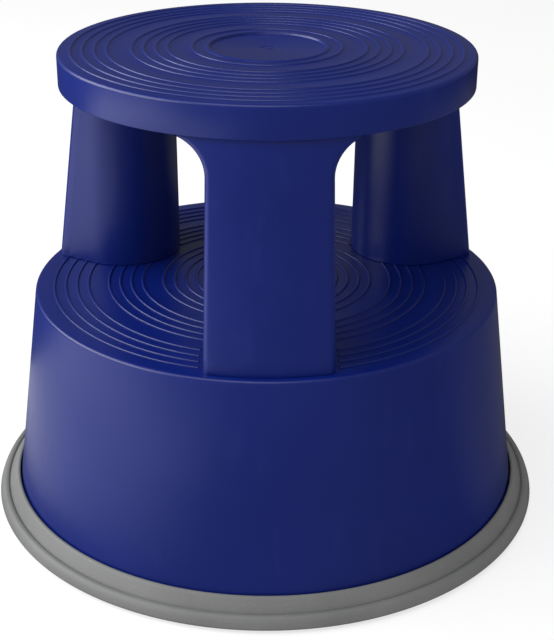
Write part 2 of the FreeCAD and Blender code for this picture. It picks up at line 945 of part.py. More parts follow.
def build_axle(name, turn):
    end = cell("fork_inside") + cell("fork_side")
    head_end = end + 1.6
    radius = cell("axle_radius")
    head = cell("axle_head")
    body = turned_piece(
        f"castor_{name}_axle",
        [
            (-head_end, 0),
            (-head_end, head - 1),
            (-head_end + 1, head),
            (-end, head),
            (-end, radius),
            (end, radius),
            (end, head),
            (head_end - 1, head),
            (head_end, head - 1),
            (head_end, 0),
        ],
        axis="H_Axis",
    )
    place_castor_piece(body, turn, cell("trail"), cell("wheel_radius"))
    return body


def build_hub(name, turn):
    half = cell("wheel_width") * 0.5
    bore = cell("axle_radius") + 0.05
    rim = cell("hub_radius")
    boss = 5.5
    dish = half - 3
    body = turned_piece(
        f"castor_{name}_hub",
        [
            (-half, bore),
            (-half, boss),
            (-dish, boss + 0.5),
            (-dish, rim - 2),
            (-half + 0.6, rim - 1.5),
            (-half + 0.6, rim),
            (half - 0.6, rim),
            (half - 0.6, rim - 1.5),
            (dish, rim - 2),
            (dish, boss + 0.5),
            (half, boss),
            (half, bore),
        ],
        axis="H_Axis",
    )
    place_castor_piece(body, turn, cell("trail"), cell("wheel_radius"))
    return body


def build_tyre(name, turn):
    half = cell("wheel_width") * 0.5 - 0.6
    rim = cell("hub_radius")
    radius = cell("wheel_radius")
    body = turned_piece(
        f"castor_{name}_tyre",
        [
            (-half, rim),
            (-half, radius - 2),
            (-half + 0.8, radius - 0.6),
            (-half + 2.2, radius),
            (half - 2.2, radius),
            (half - 0.8, radius - 0.6),
            (half, radius - 2),
            (half, rim),
        ],
        axis="H_Axis",
    )
    place_castor_piece(body, turn, cell("trail"), cell("wheel_radius"))
    return body


def build_castor(name, turn):
    makers = (
        build_retainer,
        build_plunger,
        build_spring,
        build_kingpin,
        build_clip,
        build_washer,
        build_fork,
        build_axle,
        build_hub,
        build_tyre,
    )
    return [make(name, turn) for make in makers]


def build_all():
    nodes = [build_top_step(), build_base_body(), build_floor_ring()]
    nodes += [build_leg(name, turn) for name, turn in LEGS.items()]
    head = cell("leg_top") - cell("plate")
    foot = cell("step_height") - cell("plate")
    length = cell("screw_length")
    short = cell("retainer_screw_length")
    nodes.append(build_screws("leg_head_screws", pan_screw, length, leg_spots(HEAD_SCREWS, head)))
    nodes.append(build_screws("leg_foot_screws", pan_screw, length, leg_spots(FOOT_SCREWS, foot)))
    nodes.append(build_screws("retainer_screws", countersunk_screw, short, retainer_spots()))
    for name, turn in CASTORS.items():
        nodes += build_castor(name, turn)
    return nodes


def check(nodes):
    """Stop if any object failed to build or any piece isn't a sound solid."""
    doc.recompute()
    for thing in doc.Objects:
        if "Invalid" in thing.State or "Error" in thing.State:
            raise RuntimeError(f"{thing.Name} failed: {thing.State}")
    for node in nodes:
        if node.Shape.isNull() or not node.Shape.isValid() or not node.Shape.Solids:
            raise RuntimeError(f"{node.Label} has no sound shape")


nodes = build_all()
check(nodes)
os.makedirs("parts", exist_ok=True)
for node in nodes:
    node.Shape.exportStep(f"parts/{node.Label}.step")
    print(node.Label, len(node.Shape.Solids), round(node.Shape.Volume))
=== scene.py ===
# %% [markdown]
# # A kick step stool in moulded plastic
#
# The stool is a tapered drum with a lower step, three D-shaped legs and a round upper step. A rubber
# ring runs round its foot, and three sprung castors hide under the drum. The engineering model
# already says where everything is and how it moves. This lesson builds the visible surfaces over
# it, one piece at a time, and gives each its finish.
#
# The first cell loads that model. Its outer box is kept, because the finished pieces have to stay
# inside it.

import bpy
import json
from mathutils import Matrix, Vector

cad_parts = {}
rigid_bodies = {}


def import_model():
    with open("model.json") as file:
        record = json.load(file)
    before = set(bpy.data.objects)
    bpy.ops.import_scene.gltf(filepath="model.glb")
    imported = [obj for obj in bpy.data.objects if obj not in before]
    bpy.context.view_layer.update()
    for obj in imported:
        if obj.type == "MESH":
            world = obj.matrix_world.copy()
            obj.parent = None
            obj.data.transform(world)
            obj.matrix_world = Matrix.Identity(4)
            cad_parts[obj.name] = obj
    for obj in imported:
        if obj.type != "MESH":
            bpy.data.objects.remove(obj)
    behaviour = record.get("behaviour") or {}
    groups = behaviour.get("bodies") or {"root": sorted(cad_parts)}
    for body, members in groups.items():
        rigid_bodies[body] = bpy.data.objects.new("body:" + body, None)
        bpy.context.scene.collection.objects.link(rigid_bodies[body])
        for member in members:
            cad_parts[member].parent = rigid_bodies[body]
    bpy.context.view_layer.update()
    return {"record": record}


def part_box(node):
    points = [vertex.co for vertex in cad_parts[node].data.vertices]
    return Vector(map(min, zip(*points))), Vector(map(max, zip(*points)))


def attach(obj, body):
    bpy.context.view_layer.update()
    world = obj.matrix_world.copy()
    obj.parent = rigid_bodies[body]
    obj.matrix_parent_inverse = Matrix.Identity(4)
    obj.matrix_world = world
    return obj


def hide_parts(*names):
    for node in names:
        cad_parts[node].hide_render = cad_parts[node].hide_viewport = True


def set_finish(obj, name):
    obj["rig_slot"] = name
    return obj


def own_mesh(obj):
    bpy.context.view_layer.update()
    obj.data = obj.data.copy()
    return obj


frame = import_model()

# %% [markdown]
# Everything below is written in millimetres and turned into metres at the last moment, because a
# moulding's drawing is read in millimetres. `STEPS` is how many flats stand in for a full circle:
# at this size 192 of them leave no visible corner.

# %% Modules, units and where things are
import json
import math

import bmesh
import bpy
from mathutils import Matrix, Vector

MM = 0.001
FULL = 2 * math.pi
STEPS = 192
LEG_TURNS = {"front": -90, "rear_left": 150, "rear_right": 30}


def box_mm(node):
    low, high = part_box(node)
    return low / MM, high / MM


top_low, top_high = box_mm("top_step")
drum_low, drum_high = box_mm("base_body")
ring_low, ring_high = box_mm("floor_ring")
leg_low, leg_high = box_mm("leg_front")
print("top step radius", round(top_high.x, 1), "ring radius", round(ring_high.x, 1))

# %% [markdown]
# ## Small tools for modelling
#
# Round mouldings are turned shapes, so most pieces start as a half section that is spun round the
# Z axis. `section` draws the half section as a chain of edges and `lathe` spins it. A sharp edge
# never looks moulded, so `soften` bevels chosen edges. The bevel operator's own defaults differ
# from the editor's, which is why its affect, profile and material are always given.

# %% Section, lathe and soften


def section(bm, points, closed=False):
    """A chain of edges through (radius, height) points, in the plane of X and Z."""
    verts = [bm.verts.new((radius * MM, 0, height * MM)) for radius, height in points]
    pairs = list(zip(verts, verts[1:]))
    if closed:
        pairs.append((verts[-1], verts[0]))
    return verts + [bm.edges.new(pair) for pair in pairs]


def lathe(bm, points, closed=False, steps=STEPS):
    """Spin a half section right round the Z axis, and return its vertices."""
    before = set(bm.verts)
    bmesh.ops.spin(
        bm,
        geom=section(bm, points, closed),
        cent=(0, 0, 0),
        axis=(0, 0, 1),
        angle=FULL,
        steps=steps,
        use_merge=True,
    )
    return [vert for vert in bm.verts if vert not in before]


def soften(bm, edges, width, segments=3):
    if edges:
        bmesh.ops.bevel(
            bm,
            geom=edges,
            affect="EDGES",
            offset=width * MM,
            segments=segments,
            profile=0.5,
            material=-1,
        )


def ring_edges(bm, radius, height):
    """The edges that run round the Z axis at one radius and height."""
    slack = 0.02 * MM

    def on_ring(vert):
        off = abs(math.hypot(vert.co.x, vert.co.y) - radius * MM)
        return off < slack and abs(vert.co.z - height * MM) < slack

    return [edge for edge in bm.edges if all(on_ring(vert) for vert in edge.verts)]


def turned(degrees):
    return Matrix.Rotation(math.radians(degrees), 4, "Z")


def moved(x, y, z):
    return Matrix.Translation((x * MM, y * MM, z * MM))


# %% [markdown]
# A finished piece is welded, turned the right way out and shaded smooth, except across edges
# sharper than a given angle. Then it rides on a body of the frame, names the material slot it
# belongs to, and stands in for the plain engineering shapes that it replaces.

# %% Finish a piece


def make_piece(bm, name, body, slot, replaces=(), sharp=35):
    bmesh.ops.remove_doubles(bm, verts=bm.verts, dist=0.004 * MM)
    bmesh.ops.recalc_face_normals(bm, faces=bm.faces)
    mesh = bpy.data.meshes.new(name)
    bm.to_mesh(mesh)
    bm.free()
    mesh.shade_smooth()
    mesh.set_sharp_from_angle(angle=math.radians(sharp))
    piece = bpy.data.objects.new(name, mesh)
    bpy.context.scene.collection.objects.link(piece)
    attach(piece, body)
    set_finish(piece, slot)
    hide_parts(*replaces)
    triangles = sum(len(face.vertices) - 2 for face in mesh.polygons)
    print(f"{name}: {triangles} triangles")
    return piece


# %% [markdown]
# ## Upper step
#
# The upper step is a shallow lid: a tread with raised rings, a skirt, and ribs inside. It could be
# a disc with rings laid on it, but a real tread is one skin that rises and falls, so the rings
# belong to the section itself. `bead` gives one raised ring as four points of that section.

# %% Raised rings of a tread
BEAD_HEIGHT = 0.9
BEAD_FOOT = 1.2
BEAD_CREST = 0.75
BEAD_PITCH = 8.7


def bead(radius, field):
    crest = field + BEAD_HEIGHT
    return [
        (radius - BEAD_FOOT, field),
        (radius - BEAD_CREST, crest),
        (radius + BEAD_CREST, crest),
        (radius + BEAD_FOOT, field),
    ]


def bead_radii(first, group_step, groups):
    """Radii of the rings, counted inwards: groups of rings one pitch apart."""
    return [
        first - group * group_step - ring * BEAD_PITCH
        for group, count in enumerate(groups)
        for ring in range(count)
    ]


top_beads = sorted(bead_radii(143.3, 44.2, (4, 4, 1)))
print("upper rings", top_beads)

# %% [markdown]
# The section runs from the centre over the dish, its raised rim and the rings, round the edge, down
# the skirt and back under the tread. The small moulding mark at the centre is a shallow groove in
# the same section, so it needs no piece of its own. Then the edges are rounded: the outer edge
# most, because hands and shoes meet it there.

# %% Turn the upper step
PLATE = 4.0
DISH_RADIUS = 42.0
DISH_RIM = 46.3
DISH_SINK = 1.0
MARK_RADIUS = 5.4
MARK_SINK = 0.5
MARK_WIDTH = 2.2
MARK_SLOPE = 0.6
SKIRT_GAP = 0.4

top_radius = top_high.x
top_crest = top_high.z
top_field = top_crest - BEAD_HEIGHT
top_ceiling = top_field - PLATE
dish = top_field - DISH_SINK
skirt_base = top_low.z + SKIRT_GAP

outline = [
    (0, dish),
    (MARK_RADIUS - MARK_WIDTH, dish),
    (MARK_RADIUS - MARK_WIDTH + MARK_SLOPE, dish - MARK_SINK),
    (MARK_RADIUS - MARK_SLOPE, dish - MARK_SINK),
    (MARK_RADIUS, dish),
    (DISH_RADIUS, dish),
    (DISH_RADIUS + 0.6, top_crest),
    (DISH_RIM - 1, top_crest),
    (DISH_RIM, top_field),
]
for radius in top_beads:
    outline += bead(radius, top_field)
outline += [
    (top_radius, top_field),
    (top_radius, skirt_base),
    (top_radius - PLATE, skirt_base),
    (top_radius - PLATE - 0.6, top_ceiling),
    (0, top_ceiling),
]

bm = bmesh.new()
lathe(bm, outline)
soften(bm, ring_edges(bm, top_radius, top_field), 2.6, 6)
soften(bm, ring_edges(bm, top_radius, skirt_base), 0.7, 3)
for radius in top_beads:
    crests = [radius - BEAD_CREST, radius + BEAD_CREST]
    feet = [radius - BEAD_FOOT, radius + BEAD_FOOT]
    soften(bm, [e for r in crests for e in ring_edges(bm, r, top_crest)], 0.45, 3)
    soften(bm, [e for r in feet for e in ring_edges(bm, r, top_field)], 0.3, 2)
for radius, height in ((DISH_RADIUS + 0.6, top_crest), (DISH_RIM - 1, top_crest)):
    soften(bm, ring_edges(bm, radius, height), 0.5, 3)
soften(bm, ring_edges(bm, DISH_RADIUS, dish), 0.4, 2)
soften(bm, ring_edges(bm, MARK_RADIUS, dish), 0.3, 2)
make_piece(bm, "top_step_shell", "stool", "blue_plastic", ["top_step"])

# %% [markdown]
# Under the tread, twelve ribs run out from a hub ring, and nine bosses take the leg screws. Nobody
# sees them until the stool is turned over, but they are what lets a thin skin carry a person. They
# are a mesh of their own: a ring, a block repeated round the centre and a tube repeated under
# each leg.

# %% Ribs and bosses under the upper step
RIB = 3.0
HEAD_SCREWS = ((138, 14), (138, -14), (118, 0))
FOOT_SCREWS = ((162, 20), (162, -20), (99, 0))
BOSS_RADIUS = 5.5
SCREW_HOLE = 2.5


def block(bm, low, high, turn=0, soft=0.6):
    """A rib: a block between two corners, turned about the Z axis."""
    centre = [(a + b) / 2 for a, b in zip(low, high)]
    size = [abs(b - a) * MM for a, b in zip(low, high)]
    matrix = turned(turn) @ moved(*centre) @ Matrix.Diagonal((*size, 1))
    made = bmesh.ops.create_cube(bm, size=1, matrix=matrix)["verts"]
    soften(bm, list({edge for vert in made for edge in vert.link_edges}), soft, 2)


def tube(bm, outer, inner, base, top, matrix, steps=40):
    """A round tube that stands on the Z axis and is then moved into place."""
    outline = [(inner, base), (outer, base), (outer, top), (inner, top)]
    verts = lathe(bm, outline, closed=True, steps=steps)
    bmesh.ops.transform(bm, matrix=matrix, verts=verts)


RIB_DEPTH = 11
RIB_COUNT = 12
HUB_RADIUS = 24
bm = bmesh.new()
tube(bm, HUB_RADIUS, HUB_RADIUS - RIB, top_ceiling - RIB_DEPTH, top_ceiling, Matrix(), 96)
for rib in range(RIB_COUNT):
    low = (HUB_RADIUS - 1, -RIB / 2, top_ceiling - RIB_DEPTH)
    high = (top_radius - PLATE, RIB / 2, top_ceiling + 1)
    block(bm, low, high, 360 / RIB_COUNT * rib)
for turn in LEG_TURNS.values():
    for x, y in HEAD_SCREWS:
        place = turned(turn) @ moved(x, y, 0)
        tube(bm, BOSS_RADIUS, SCREW_HOLE, top_low.z, top_ceiling + 0.5, place)
make_piece(bm, "top_step_ribs", "stool", "blue_plastic")

# %% [markdown]
# ## Drum and lower step
#
# The drum is the largest moulding: a tapered wall, the lower tread and a flange that the rubber
# ring grips. The wall is turned. The tread has three hatches in it, one under each leg, which let
# a screwdriver reach the screws inside, so the flat part of the tread can't be turned. It is
# filled between a circle and three hatch outlines, given its thickness, and welded to the
# turned part along the circle.
#
# The legs and the hatches share one outline, a D: an arc round the stool's own axis, two
# straight sides and a round inner end. `d_outline` walks round it, so that every D has the same
# number of points and two of them can be bridged.

# %% The D outline
CORNER = 7.0


def arc(centre_x, centre_y, radius, start, end, count):
    """Points along an arc, in degrees, without its last point."""
    turns = [math.radians(start + (end - start) * i / count) for i in range(count)]
    return [(centre_x + radius * math.cos(a), centre_y + radius * math.sin(a)) for a in turns]


def d_outline(outer, half, centre, corner):
    """The D section's points: outer face, corner, side, inner end, side, corner."""
    rise = half - corner
    reach = math.sqrt((outer - corner) ** 2 - rise**2)
    bend = math.degrees(math.atan2(rise, reach))
    points = arc(0, 0, outer, -bend, bend, 24)
    points += arc(reach, rise, corner, bend, 90, 8)
    points += [(reach + (centre - reach) * i / 8, half) for i in range(8)]
    points += arc(centre, 0, half, 90, 270, 48)
    points += [(centre + (reach - centre) * i / 8, -half) for i in range(8)]
    points += arc(reach, -rise, corner, 270, 360 - bend, 8)
    return points


def loop_at(bm, points, height, turn=0):
    """A closed loop of edges through flat points, at one height."""
    spin = turned(turn)
    verts = [bm.verts.new(spin @ Vector((x * MM, y * MM, height * MM))) for x, y in points]
    return [bm.edges.new(pair) for pair in zip(verts, verts[1:] + verts[:1])]


FOOT = {"outer": 174.0, "half": 45.0, "centre": 134.0}
HEAD = {"outer": 150.5, "half": 42.0, "centre": 132.0}
HATCH_INSET = 20.0
hatch = d_outline(
    FOOT["outer"] - HATCH_INSET,
    FOOT["half"] - HATCH_INSET,
    FOOT["centre"],
    CORNER,
)
print("D outline points", len(hatch))

# %% [markdown]
# The wall's section starts and ends on the weld circle: over the rounded edge of the step, down
# the taper, round the flange and up inside.

# %% Turn the drum's wall and fill its tread
WALL = 3.5
WELD = 168.0
FLANGE_TOP = 9.0
FLANGE_RADIUS = drum_high.x
DRUM_BASE = drum_low.z
STEP_HEIGHT = drum_high.z - BEAD_HEIGHT
STEP_RADIUS = 179.4
TAPER = 0.135
MID_WALL = 95
step_ceiling = STEP_HEIGHT - PLATE


def drum_at(height):
    return STEP_RADIUS + TAPER * (STEP_HEIGHT - height)


wall_outline = [
    (WELD, STEP_HEIGHT),
    (STEP_RADIUS, STEP_HEIGHT),
    (drum_at(MID_WALL), MID_WALL),
    (drum_at(FLANGE_TOP), FLANGE_TOP),
    (FLANGE_RADIUS, FLANGE_TOP),
    (FLANGE_RADIUS, DRUM_BASE),
    (drum_at(DRUM_BASE) - WALL, DRUM_BASE),
    (drum_at(step_ceiling) - WALL, step_ceiling),
    (WELD, step_ceiling),
]
bm = bmesh.new()
lathe(bm, wall_outline)
soften(bm, ring_edges(bm, STEP_RADIUS, STEP_HEIGHT), 2.2, 5)
soften(bm, ring_edges(bm, drum_at(FLANGE_TOP), FLANGE_TOP), 1.0, 3)

rim = bmesh.ops.create_circle(bm, segments=STEPS, radius=WELD * MM)["verts"]
bmesh.ops.translate(bm, verts=rim, vec=(0, 0, STEP_HEIGHT * MM))
tread_edges = list({edge for vert in rim for edge in vert.link_edges})
for turn in LEG_TURNS.values():
    tread_edges += loop_at(bm, hatch, STEP_HEIGHT, turn)
filled = bmesh.ops.triangle_fill(
    bm, use_beauty=True, use_dissolve=False, edges=tread_edges, normal=(0, 0, 1)
)
skin = [item for item in filled["geom"] if isinstance(item, bmesh.types.BMFace)]
under = bmesh.ops.extrude_face_region(bm, geom=skin, use_keep_orig=True)["geom"]
under_verts = [item for item in under if isinstance(item, bmesh.types.BMVert)]
bmesh.ops.translate(bm, verts=under_verts, vec=(0, 0, -PLATE * MM))
hidden = []
for face in bm.faces:
    radii = [math.hypot(vert.co.x, vert.co.y) for vert in face.verts]
    if abs(face.normal.z) < 0.5 and all(abs(r - WELD * MM) < 0.01 * MM for r in radii):
        hidden.append(face)
bmesh.ops.delete(bm, geom=hidden, context="FACES_ONLY")
print("tread faces", len(skin), "weld faces removed", len(hidden))
make_piece(bm, "drum_shell", "stool", "blue_plastic", ["base_body"])

# %% [markdown]
# The lower step's rings stop a little short of each leg, so they are arcs and not whole rings.
# Where a ring of radius r meets the D outline, grown by that margin, the angle comes from plain
# geometry: either the ring crosses the D's straight side or it crosses its round inner end. Each
# arc is one bead section, spun through the angle that is left between two legs.

# %% Raised rings of the lower step
MARGINS = {"front": 3.0, "rear_left": 0.8, "rear_right": 0.8}
BEAD_SUNK = 0.4


def half_gap(radius, margin):
    """Half the angle, in degrees, that a leg and its margin take out of a ring."""
    outer = FOOT["outer"] + margin
    half = FOOT["half"] + margin
    centre = FOOT["centre"]
    if radius > outer or radius < centre - half:
        return 0.0
    side = math.asin(half / radius)
    if radius * math.cos(side) >= centre:
        return math.degrees(side)
    across = (radius**2 + centre**2 - half**2) / (2 * radius * centre)
    return math.degrees(math.acos(across))


def closed_bead(radius, field):
    """A bead's section, closed by two points that are sunk into the tread."""
    rise = bead(radius, field)
    return rise + [(rise[3][0], field - BEAD_SUNK), (rise[0][0], field - BEAD_SUNK)]


def bead_arc(bm, radius, field, start, sweep):
    """A part of a ring: a closed bead section spun through an angle, with both ends closed."""
    spin = turned(start)
    points = [spin @ Vector((r * MM, 0, z * MM)) for r, z in closed_bead(radius, field)]
    cap = bm.faces.new([bm.verts.new(point) for point in points])
    bmesh.ops.spin(
        bm,
        geom=[cap],
        cent=(0, 0, 0),
        axis=(0, 0, 1),
        angle=math.radians(sweep),
        steps=max(8, round(STEPS * sweep / 360)),
    )


step_beads = bead_radii(165.2, 42.0, (4, 4, 4))
leg_order = ("front", "rear_right", "rear_left")
bm = bmesh.new()
for radius in step_beads:
    if half_gap(radius, MARGINS["front"]) == 0:
        lathe(bm, closed_bead(radius, STEP_HEIGHT), closed=True)
        continue
    for one, two in zip(leg_order, leg_order[1:] + leg_order[:1]):
        start = half_gap(radius, MARGINS[one])
        end = half_gap(radius, MARGINS[two])
        bead_arc(bm, radius, STEP_HEIGHT, LEG_TURNS[one] + start, 120 - start - end)
crest = (STEP_HEIGHT + BEAD_HEIGHT) * MM
high = [
    edge
    for edge in bm.edges
    if all(abs(vert.co.z - crest) < 0.01 * MM for vert in edge.verts)
    and any(face.normal.z < 0.9 for face in edge.link_faces)
]
soften(bm, high, 0.4, 3)
make_piece(bm, "step_rings", "stool", "blue_plastic")

# %% [markdown]
# Inside the drum, ribs stiffen the tread, and three tall tubes hold the castors. Each tube is
# turned about its own axis: wide at the mouth for the retainer's screws, bored for the plunger,
# and narrower above, which leaves a shoulder for the spring.

# %% Ribs and castor sockets inside the drum
CASTOR_TURNS = {"rear": 90, "right": -30, "left": -150}
CASTOR_CIRCLE = 150.0
SOCKET_MOUTH = 50.0
SPRING_SEAT = 112.0

socket_outline = [
    (16, SOCKET_MOUTH),
    (27, SOCKET_MOUTH),
    (27, SOCKET_MOUTH + 10),
    (20, SOCKET_MOUTH + 10),
    (20, step_ceiling + 0.5),
    (11, step_ceiling + 0.5),
    (11, SPRING_SEAT),
    (16, SPRING_SEAT),
]
bm = bmesh.new()
base = step_ceiling - 14
tube(bm, 34, 34 - RIB, base, step_ceiling + 0.5, Matrix(), 96)
for turn in CASTOR_TURNS.values():
    block(bm, (33, -RIB / 2, base), (131, RIB / 2, step_ceiling + 1), turn)
    for side in (-30, 30):
        block(bm, (33, -RIB / 2, base), (177, RIB / 2, step_ceiling + 1), turn + side)
    for low, high in ((62, 100), (100, 138), (138, step_ceiling + 1)):
        reach = drum_at(high) - WALL + 0.8
        block(bm, (169, -RIB / 2, low), (reach, RIB / 2, high), turn, 0.2)
    verts = lathe(bm, socket_outline, closed=True, steps=64)
    bmesh.ops.transform(bm, matrix=turned(turn) @ moved(CASTOR_CIRCLE, 0, 0), verts=verts)
make_piece(bm, "drum_ribs_and_sockets", "stool", "blue_plastic")

# %% [markdown]
# ## Legs
#
# Each leg is a hollow column on the D outline. Its outer face is part of the same taper as the
# drum, and on the front leg it flares out under the upper step, with one rounded edge that
# runs up the side and on round the flare. A rounded edge like that is easy on a flat sheet and
# hard on a cone. So the outer face is made flat first, as a plate with the flare cut into its
# outline and its edges bevelled, and is wrapped onto the cone afterwards. The edge that stands on
# the lower step gets a much smaller rounding, so that the seam there stays a thin dark line.

# %% The outer face of a leg
FACE_DEPTH = 9.0
EDGE_INSET = 8.0
EDGE_ROUND = 3.6
FOOT_ROUND = 0.6
FLARE = 26.0
FLARE_LIP = 1.0
FACE_COLUMNS = 16
SIDE_ROWS = 12
FLARE_ROWS = 16
leg_base = leg_low.z
leg_top = leg_high.z


def along_leg(height, name):
    """A size of the leg's section at a height, between its foot and its head."""
    share = (height - leg_base) / (leg_top - leg_base)
    return FOOT[name] + (HEAD[name] - FOOT[name]) * share


def face_rows(flare):
    """Heights up the leg with the half width at each: the flare is a quarter circle."""
    start = leg_top - FLARE_LIP - flare
    rows = [leg_base + (start - leg_base) * i / SIDE_ROWS for i in range(SIDE_ROWS + 1)]
    rows = [(height, along_leg(height, "half")) for height in rows]
    if flare == 0:
        return rows + [(leg_top, along_leg(leg_top, "half"))]
    for i in range(1, FLARE_ROWS + 1):
        bend = math.radians(90 * i / FLARE_ROWS)
        height = start + flare * math.sin(bend)
        rows.append((height, along_leg(start, "half") + flare * (1 - math.cos(bend))))
    return rows + [(leg_top, rows[-1][1])]


def flat_plate(bm, rows):
    """The plate before it is rounded: a grid drawn to the outline and given its depth."""
    grid = bmesh.ops.create_grid(bm, x_segments=FACE_COLUMNS, y_segments=len(rows) - 1, size=1)
    for vert in grid["verts"]:
        row = round((vert.co.y + 1) / 2 * (len(rows) - 1))
        height, half = rows[row]
        inner = half - EDGE_INSET
        place = vert.co.x * FACE_COLUMNS / (FACE_COLUMNS - 2)
        across = math.copysign(half, place) if abs(place) > 1.001 else place * inner
        vert.co = Vector((across * MM, height * MM, 0))
    front = list({face for vert in grid["verts"] for face in vert.link_faces})
    back = bmesh.ops.extrude_face_region(bm, geom=front, use_keep_orig=True)["geom"]
    back = [item for item in back if isinstance(item, bmesh.types.BMVert)]
    bmesh.ops.translate(bm, verts=back, vec=(0, 0, FACE_DEPTH * MM))


def side_edges(made):
    """The plate's front edges up both sides and round the flare, but not along foot and head."""
    chosen = []
    for edge in {edge for vert in made for edge in vert.link_edges}:
        normals = [face.normal for face in edge.link_faces]
        flat = all(abs(vert.co.z) < 0.01 * MM for vert in edge.verts)
        if not flat or len(normals) < 2 or abs(normals[0].dot(normals[1])) > 0.5:
            continue
        level = abs(edge.verts[0].co.y - edge.verts[1].co.y) < 0.01 * MM
        low = min(vert.co.y for vert in edge.verts) < (leg_base + 0.1) * MM
        high = max(vert.co.y for vert in edge.verts) > (leg_top - 0.1) * MM
        if not (level and (low or high)):
            chosen.append(edge)
    return chosen


def foot_edges(bm, before):
    """The edges round the plate's foot, apart from the one behind it."""
    chosen = []
    for edge in bm.edges:
        at_foot = all(abs(vert.co.y - leg_base * MM) < 0.01 * MM for vert in edge.verts)
        new = edge.verts[0] not in before and len(edge.link_faces) == 2
        behind = all(vert.co.z > (FACE_DEPTH - 0.01) * MM for vert in edge.verts)
        if at_foot and new and not behind:
            if any(abs(face.normal.y) < 0.5 for face in edge.link_faces):
                chosen.append(edge)
    return chosen


def leg_face(bm, flare):
    """A plate as tall as the leg, bevelled flat and then wrapped onto the cone."""
    before = set(bm.verts)
    flat_plate(bm, face_rows(flare))
    soften(bm, side_edges([vert for vert in bm.verts if vert not in before]), EDGE_ROUND, 6)
    soften(bm, foot_edges(bm, before), FOOT_ROUND, 2)
    wrap_leg_face(bm, before)


def wrap_leg_face(bm, before):
    """Roll the flat plate round the stool's axis, onto the tapered outer face."""
    for vert in bm.verts:
        if vert in before:
            continue
        across, height, depth = vert.co / MM
        radius = along_leg(height, "outer") - depth
        vert.co = Vector((math.sqrt(radius**2 - across**2), across, height)) * MM


print("leg face rows", len(face_rows(0)), "plain and", len(face_rows(FLARE)), "flared")

# %% [markdown]
# Behind the outer face stands the column. It is a chain of D loops, each bridged to the next: up
# the outside, in over the foot plate to the hatch, and up the inside. The loops all have the same
# number of points, so the bridges are plain quads. Near the foot one loop steps in by the same
# small rounding as the outer face.

# %% The column, and the three legs
HIDDEN = 2.0
SIDE_CLEARANCE = 0.05


def column_loop(bm, height, inset, corner=CORNER):
    outer = along_leg(height, "outer") - inset - HIDDEN * (inset < 1)
    half = along_leg(height, "half") - inset
    return loop_at(bm, d_outline(outer, half, along_leg(height, "centre"), corner), height)


def leg_column(bm):
    loops = [
        column_loop(bm, leg_top, SIDE_CLEARANCE),
        column_loop(bm, leg_base + FOOT_ROUND, SIDE_CLEARANCE),
        column_loop(bm, leg_base, SIDE_CLEARANCE + FOOT_ROUND),
        loop_at(bm, hatch, leg_base),
        loop_at(bm, hatch, leg_base + PLATE),
        column_loop(bm, leg_base + PLATE, WALL, CORNER - WALL),
        column_loop(bm, leg_top - PLATE, WALL, CORNER - WALL),
    ]
    for one, two in zip(loops, loops[1:]):
        bmesh.ops.bridge_loops(bm, edges=one + two)
    bmesh.ops.edgeloop_fill(bm, edges=loops[0])
    bmesh.ops.edgeloop_fill(bm, edges=loops[-1])


def leg_bosses(bm):
    for x, y in FOOT_SCREWS:
        tube(bm, BOSS_RADIUS, SCREW_HOLE, leg_base + PLATE - 0.2, leg_base + 14, moved(x, y, 0))


for name, turn in LEG_TURNS.items():
    bm = bmesh.new()
    leg_face(bm, FLARE if name == "front" else 0)
    leg_column(bm)
    leg_bosses(bm)
    bmesh.ops.transform(bm, matrix=turned(turn), verts=bm.verts)
    node = f"leg_{name}"
    make_piece(bm, f"{node}_moulding", "stool", "blue_plastic", [node])

# %% [markdown]
# ## Floor ring
#
# The rubber ring is turned from one section: a flat base, an upright outer wall, a flat band, a
# groove, and a slope that climbs to a lip against the drum. A slot inside grips the drum's flange.
# Rubber leaves a mould with soft corners, so all of its edges are rounded, the lip most.

# %% Turn the floor ring
RING_GAP = 0.3
ring_radius = ring_high.x
ring_base = ring_low.z
lip = ring_high.z
lip_radius = 203.0
band = 12.2
groove = 211.2
slot_top = FLANGE_TOP + RING_GAP
slot_base = DRUM_BASE - RING_GAP
inner = 197.0
spread = (ring_radius, ring_base + 1.4)
shoulder = (ring_radius - 1.7, band - 3)
crown = (ring_radius - 4.2, band)
slope_top = (lip_radius + 2.6, lip - 1.7)
ring_outline = [
    (ring_radius - 1, ring_base),
    spread,
    shoulder,
    crown,
    (groove + 1.1, band),
    (groove, band - 1.2),
    (groove - 0.8, band + 0.2),
    slope_top,
    (lip_radius + 1.4, lip - 0.3),
    (lip_radius, lip),
    (lip_radius - 0.8, lip - 0.6),
    (drum_at(slot_top) + RING_GAP, slot_top),
    (FLANGE_RADIUS + RING_GAP, slot_top),
    (FLANGE_RADIUS + RING_GAP, slot_base),
    (inner, slot_base),
    (inner, ring_base),
]
bm = bmesh.new()
lathe(bm, ring_outline, closed=True)
soften(bm, ring_edges(bm, *spread), 1.0, 3)
soften(bm, ring_edges(bm, *shoulder), 1.5, 4)
soften(bm, ring_edges(bm, *crown), 1.5, 4)
soften(bm, ring_edges(bm, groove + 1.1, band), 0.4, 2)
soften(bm, ring_edges(bm, groove - 0.8, band + 0.2), 0.4, 2)
soften(bm, ring_edges(bm, *slope_top), 0.7, 3)
soften(bm, ring_edges(bm, lip_radius + 1.4, lip - 0.3), 0.5, 3)
soften(bm, ring_edges(bm, lip_radius, lip), 0.3, 2)
make_piece(bm, "floor_ring_rubber", "stool", "grey_rubber", ["floor_ring"], sharp=40)

# %% [markdown]
# ## Castor springs
#
# Each castor is pushed down by a coil of steel wire round the plunger's spigot. A helix is a turned
# shape that climbs as it turns: `spin` takes a small movement for every step as well as an angle.
# When somebody stands on the stool, the castor retracts and its spring gets shorter. Here each coil is
# wound at one length and gets a mesh of its own.

# %% Wind the springs
WIRE = 1.1
COIL = 13.7
COIL_TURN_STEPS = 28
COIL_PITCH = 5.6

